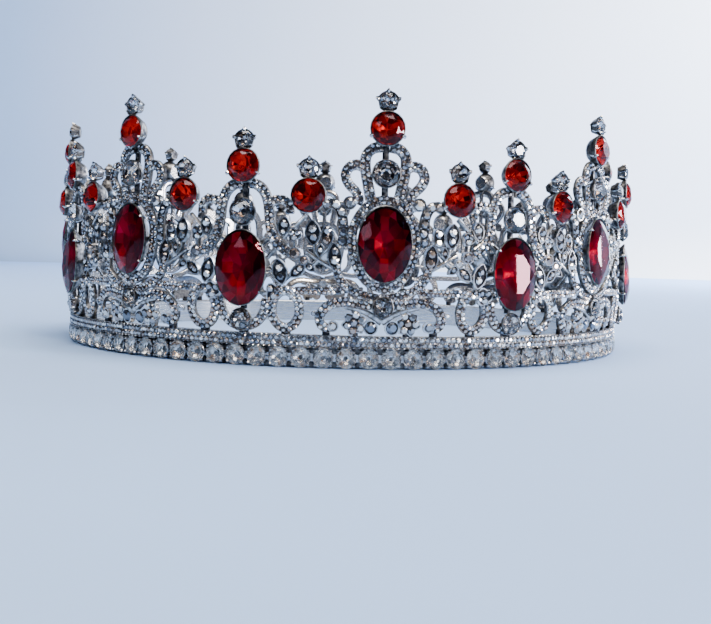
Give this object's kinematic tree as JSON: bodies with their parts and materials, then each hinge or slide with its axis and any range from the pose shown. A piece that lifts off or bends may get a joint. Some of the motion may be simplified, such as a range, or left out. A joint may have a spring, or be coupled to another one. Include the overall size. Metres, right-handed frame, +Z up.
{
  "type": "crown",
  "caption": "Rigid round openwork crown with tall, medium and small tips, set with red and clear stones, on a stone-set base ring.",
  "frame": {"origin": "centre of the base ring, on the plane it rests on", "axes": "+Z up along the crown's axis, -Y towards the wearer's front, where a tall motif stands"},
  "size_m": [0.1852, 0.1852, 0.0689],
  "materials": {
    "casting": "silver-plated zinc casting with a dark patina in its recesses",
    "base_strip": "bright silver-plated strip and cups",
    "clear_stones": "clear foil-backed rhinestones",
    "oval_stones": "polished ruby-red foil-backed glass",
    "round_stones": "polished siam-red foil-backed glass"
  },
  "bodies": {
    "root": {"base_band": "base_strip", "cup_chain": "clear_stones", "pave_rail": "clear_stones", "wall_panel_1": "casting", "wall_panel_2": "casting", "wall_panel_3": "casting", "wall_panel_4": "casting", "wall_panel_5": "casting", "wall_panel_6": "casting", "wall_panel_7": "casting", "wall_panel_8": "casting", "oval_stone_tall_1": "oval_stones", "oval_stone_medium_1": "oval_stones", "oval_stone_tall_2": "oval_stones", "oval_stone_medium_2": "oval_stones", "oval_stone_tall_3": "oval_stones", "oval_stone_medium_3": "oval_stones", "oval_stone_tall_4": "oval_stones", "oval_stone_medium_4": "oval_stones", "oval_stone_tall_5": "oval_stones", "oval_stone_medium_5": "oval_stones", "oval_stone_tall_6": "oval_stones", "oval_stone_medium_6": "oval_stones", "oval_stone_tall_7": "oval_stones", "oval_stone_medium_7": "oval_stones", "oval_stone_tall_8": "oval_stones", "oval_stone_medium_8": "oval_stones", "red_stone_tall_1": "round_stones", "red_stone_medium_1": "round_stones", "red_stone_small_left_1": "round_stones", "red_stone_small_right_1": "round_stones", "red_stone_tall_2": "round_stones", "red_stone_medium_2": "round_stones", "red_stone_small_left_2": "round_stones", "red_stone_small_right_2": "round_stones", "red_stone_tall_3": "round_stones", "red_stone_medium_3": "round_stones", "red_stone_small_left_3": "round_stones", "red_stone_small_right_3": "round_stones", "red_stone_tall_4": "round_stones", "red_stone_medium_4": "round_stones", "red_stone_small_left_4": "round_stones", "red_stone_small_right_4": "round_stones", "red_stone_tall_5": "round_stones", "red_stone_medium_5": "round_stones", "red_stone_small_left_5": "round_stones", "red_stone_small_right_5": "round_stones", "red_stone_tall_6": "round_stones", "red_stone_medium_6": "round_stones", "red_stone_small_left_6": "round_stones", "red_stone_small_right_6": "round_stones", "red_stone_tall_7": "round_stones", "red_stone_medium_7": "round_stones", "red_stone_small_left_7": "round_stones", "red_stone_small_right_7": "round_stones", "red_stone_tall_8": "round_stones", "red_stone_medium_8": "round_stones", "red_stone_small_left_8": "round_stones", "red_stone_small_right_8": "round_stones"}
  },
  "joints": []
}
